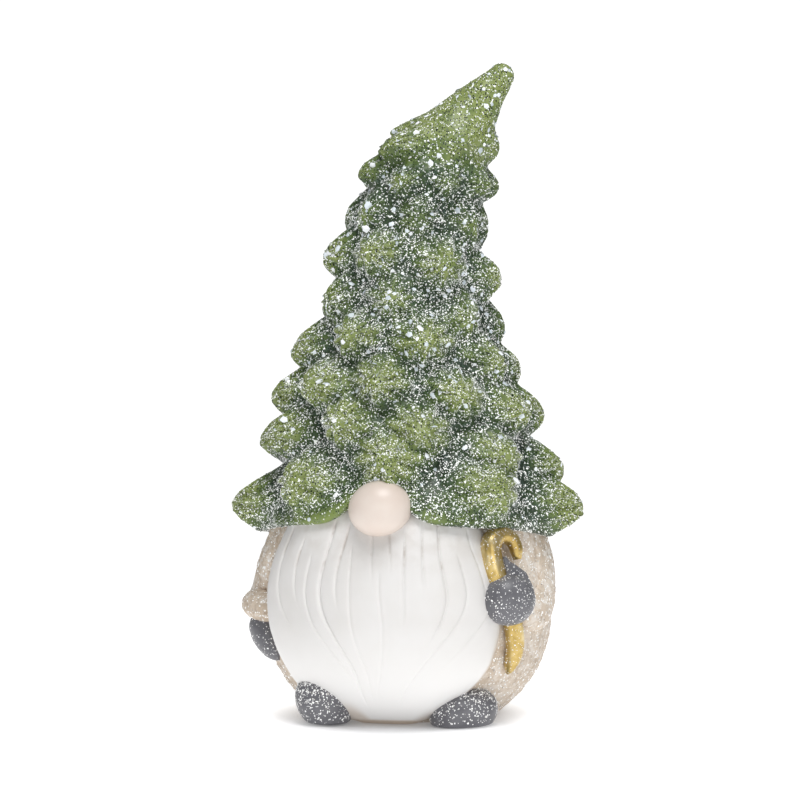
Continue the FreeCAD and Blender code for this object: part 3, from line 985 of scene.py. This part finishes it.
def slate_paint():
    """Dark slate satin paint with fine grey specks."""
    paint = Paint("slate", 0.42, coat=0.1, coat_rough=0.3)
    base = paint.ramp(paint.noise(7.0, 4.0), (0.3, (0.105, 0.105, 0.118)),
                      (0.7, (0.165, 0.165, 0.18)))
    greys = ((0.0, (0.2, 0.2, 0.21)), (0.5, (0.5, 0.5, 0.52)), (0.8, (0.85, 0.85, 0.86)))
    base, raised = paint.specks(base, 1.1, 0.12, greys, 0.3)
    paint.colour(base)
    paint.bump(paint.math("ADD", paint.noise(1.8, 4.0), raised), 0.1, 0.4)
    return paint.material


def gold_paint():
    """Gold leaf paint, brushed on unevenly."""
    paint = Paint("gold_leaf", 0.33, metallic=0.85)
    base = paint.ramp(paint.noise(5.0, 4.0), (0.3, (0.40, 0.27, 0.07)),
                      (0.52, (0.60, 0.44, 0.16)), (0.75, (0.76, 0.64, 0.38)))
    paint.colour(base)
    paint.bump(paint.noise(1.4, 5.0, 0.6), 0.2, 0.5)
    return paint.material


def glitter_paint(name, tints, sparkle):
    """Bright flakes, each chip with its own grey, that glow a little to stand in for glints."""
    paint = Paint(name, 0.25)
    chip = paint.add("ShaderNodeNewGeometry").outputs["Random Per Island"]
    grey = paint.ramp(chip, *tints)
    paint.colour(grey)
    paint.put(paint.shader.inputs["Emission Color"], grey)
    paint.shader.inputs["Emission Strength"].default_value = sparkle
    return paint.material


# ---------------------------------------------------------------- studio
def make_camera():
    """Long lens, a little above the middle of the gnome, turned a little to its left."""
    turn = math.radians(10)
    rise = math.radians(2)
    distance = 1.15
    seen_width = 0.320
    aim_aside = -0.0032
    aim_height = 0.1245
    right = Vector((math.cos(turn), math.sin(turn), 0))
    ahead = Vector((-math.sin(turn), math.cos(turn), 0))
    look = ahead * math.cos(rise) - Vector((0, 0, math.sin(rise)))
    target = right * aim_aside + Vector((0, 0, aim_height))
    data = bpy.data.cameras.new("camera")
    data.sensor_width = 36.0
    data.lens = data.sensor_width * distance / seen_width
    camera = bpy.data.objects.new("camera", data)
    camera.location = target - look * distance
    camera.rotation_euler = look.to_track_quat("-Z", "Y").to_euler()
    bpy.context.scene.collection.objects.link(camera)
    bpy.context.scene.camera = camera


def softbox(name, place, size, power):
    """Square area light aimed at the middle of the gnome."""
    aim = Vector((0, 0, 0.12))
    data = bpy.data.lights.new(name, "AREA")
    data.size = size
    data.energy = power
    light = bpy.data.objects.new(name, data)
    light.location = place
    light.rotation_euler = (aim - Vector(place)).to_track_quat("-Z", "Y").to_euler()
    bpy.context.scene.collection.objects.link(light)


def make_floor():
    """Round white table top that glows, less so close to the gnome, which paints a soft shadow
    round it.
    """
    size = 0.9
    corners = 96
    shadow_middle = (0, -0.016, 0)
    rim = []
    for number in range(corners):
        angle = 2 * math.pi * number / corners
        rim.append((size * math.cos(angle), size * math.sin(angle), 0))
    mesh = bpy.data.meshes.new("floor")
    mesh.from_pydata(rim, [], [tuple(range(corners))])
    floor = bpy.data.objects.new("floor", mesh)
    bpy.context.scene.collection.objects.link(floor)
    paint = Paint("white_table", 0.8)
    paint.colour((0.60, 0.60, 0.61, 1))
    narrow = paint.add("ShaderNodeVectorMath", Vector=paint.place)
    narrow.operation = "MULTIPLY"
    narrow.inputs[1].default_value = (1.22, 1, 1)
    away = paint.add("ShaderNodeVectorMath", Vector=narrow.outputs[0])
    away.operation = "DISTANCE"
    away.inputs[1].default_value = shadow_middle
    # The glow dips in a narrow ellipse set a little to the front: a painted shadow under the gnome.
    glow = paint.add("ShaderNodeMapRange", Value=away.outputs["Value"], From_Min=0.042,
                     From_Max=0.066, To_Min=0.16, To_Max=0.85)
    paint.shader.inputs["Emission Color"].default_value = (1, 1, 1, 1)
    paint.put(paint.shader.inputs["Emission Strength"], glow.outputs["Result"])
    mesh.materials.append(paint.material)


def make_world():
    """White surroundings: bright behind the gnome, softer as a light on it."""
    world = bpy.data.worlds.new("studio")
    bpy.context.scene.world = world
    world.use_nodes = True
    nodes = world.node_tree.nodes
    links = world.node_tree.links
    output = nodes["World Output"]
    glow = nodes["Background"]
    glow.inputs["Color"].default_value = (1, 1, 1, 1)
    glow.inputs["Strength"].default_value = 0.27
    behind = nodes.new("ShaderNodeBackground")
    behind.inputs["Color"].default_value = (1, 1, 1, 1)
    behind.inputs["Strength"].default_value = 1.1
    seen = nodes.new("ShaderNodeLightPath")
    mix = nodes.new("ShaderNodeMixShader")
    links.new(seen.outputs["Is Camera Ray"], mix.inputs[0])
    links.new(glow.outputs[0], mix.inputs[1])
    links.new(behind.outputs[0], mix.inputs[2])
    links.new(mix.outputs[0], output.inputs["Surface"])


def make_studio():
    """Camera, floor and soft lights."""
    bpy.context.scene.view_settings.view_transform = "Standard"
    make_camera()
    make_floor()
    make_world()
    for light in LIGHTS:
        softbox(*light)


# ---------------------------------------------------------------- assembly
def drifting(middle, crest, lip):
    """Fine flakes in drifts: fewer on the boughs, near the tip, and on the bare lip."""
    drifts = 0.65 + 0.7 * step(-0.5, 0.6, ripple(middle, 9.0, 12.0))
    upper = 1 - 0.55 * step(196, 218, middle[:, 2])
    return drifts * upper * (1.0 - 0.40 * crest) * (1 - 0.85 * lip)


def mostly_upper(middle, crest, lip):
    """Mica mostly on the upper half of the hat, and none where the lip is bare."""
    return (0.35 + step(110, 150, middle[:, 2])) * (1 - lip)


def mostly_on_top(middle):
    """Flakes mostly on the upper half of the boots."""
    return 0.3 + step(7, 18, middle[:, 2])


def make_gnome():
    """Every piece of the gnome but its glitter. Returns the pieces that carry glitter."""
    slip = coat_paint()
    slate = slate_paint()
    hat = place_piece(make_hat(), ["hat_shell"], hat_paint())
    coat = place_piece(make_coat(), ["body_shell"], slip)
    right_sleeve = place_piece(make_right_sleeve(), ["right_sleeve"], slip)
    right_cuff = place_piece(make_right_cuff(), ["right_cuff"], slip)
    left_sleeve = place_piece(make_left_sleeve(), ["left_sleeve"], slip)
    right_mitten = place_piece(make_right_mitten(), ["right_mitten"], slate)
    left_mitten = place_piece(make_left_mitten(), ["left_mitten"], slate)
    right_boot = make_boot("right_boot", *RIGHT_BOOT)
    place_piece(right_boot, ["right_boot"], slate)
    left_boot = make_boot("left_boot", *LEFT_BOOT)
    place_piece(left_boot, ["left_boot"], slate)
    crook = place_piece(make_crook(), ["crook"], gold_paint())
    place_piece(make_beard(), ["beard"], beard_paint())
    place_piece(make_nose(), ["nose"], nose_paint())
    cloth = [coat, right_sleeve, right_cuff, left_sleeve]
    return hat, cloth, [right_mitten, left_mitten], [right_boot, left_boot], crook


def make_hat_glitter(hat):
    """Two layers of fine flakes and a few large shards of mica."""
    silver = ((0.0, (0.02, 0.03, 0.02)), (0.14, (0.08, 0.10, 0.08)), (0.22, (0.60, 0.64, 0.60)),
              (0.45, (0.97, 0.98, 0.97)))
    dusty = ((0.0, (0.004, 0.010, 0.004)), (0.36, (0.02, 0.035, 0.02)),
             (0.42, (0.60, 0.64, 0.60)), (0.60, (0.97, 0.98, 0.97)))
    icy = ((0.0, (0.50, 0.56, 0.60)), (0.5, (0.76, 0.82, 0.87)), (1.0, (0.92, 0.94, 0.96)))
    marks = ("crest", "lip")
    chips = scatter("hat_glitter", [hat], 49000, 0.34, 1, drifting, marks)
    place_piece(chips, [], glitter_paint("fine_glitter", silver, 0.26))
    chips = scatter("hat_glitter_fine", [hat], 49000, 0.33, 5, drifting, marks)
    place_piece(chips, [], glitter_paint("mixed_glitter", dusty, 0.26))
    chips = scatter("hat_mica", [hat], 900, 0.9, 2, mostly_upper, marks, flat=0.22,
                    corners=5)
    place_piece(chips, [], glitter_paint("mica", icy, 0.10))


def make_body_glitter(cloth, mittens, boots, crook):
    """Stray flakes on everything below the hat but the beard and nose."""
    greys = ((0.0, (0.30, 0.28, 0.26)), (0.06, (0.70, 0.69, 0.67)), (0.30, (0.97, 0.97, 0.96)))
    frost = glitter_paint("frost", greys, 0.10)
    chips = scatter("coat_glitter", cloth, 13000, 0.36, 3, corners=4)
    place_piece(chips, [], frost)
    chips = scatter("mitten_glitter", mittens, 1200, 0.23, 4, corners=5)
    place_piece(chips, [], frost)
    chips = scatter("boot_glitter", boots, 3000, 0.28, 8, mostly_on_top, corners=5)
    place_piece(chips, [], frost)
    chips = scatter("crook_glitter", [crook], 900, 0.22, 6, corners=4)
    place_piece(chips, [], frost)


make_studio()
hat, cloth, mittens, boots, crook = make_gnome()
make_hat_glitter(hat)
make_body_glitter(cloth, mittens, boots, crook)
